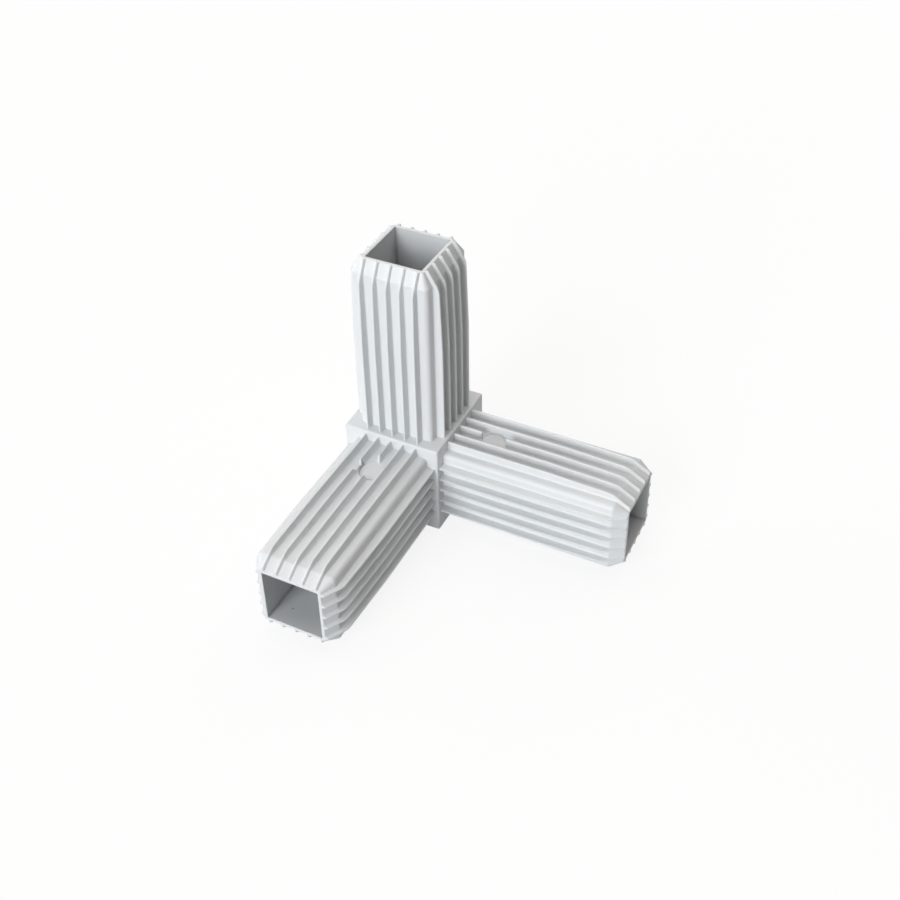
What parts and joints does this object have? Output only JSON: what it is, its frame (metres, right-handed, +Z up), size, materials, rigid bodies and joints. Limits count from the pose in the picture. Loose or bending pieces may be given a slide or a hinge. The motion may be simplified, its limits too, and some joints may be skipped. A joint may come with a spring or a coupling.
{
  "type": "three way corner connector",
  "caption": "Moulded cube with hollow ribbed square spigots at right angles, pushed into the ends of square tubes to join them at the corner of a frame.",
  "frame": {"origin": "centre of the cube's bottom face", "axes": "+Z up along the top spigot, +X along the side spigot, -Y along the front spigot"},
  "size_m": [0.071, 0.071, 0.071],
  "materials": {
    "moulded_plastic": "pale grey-white moulded plastic, satin, with fine mould texture"
  },
  "bodies": {
    "root": {"corner_connector": "moulded_plastic"}
  },
  "joints": []
}
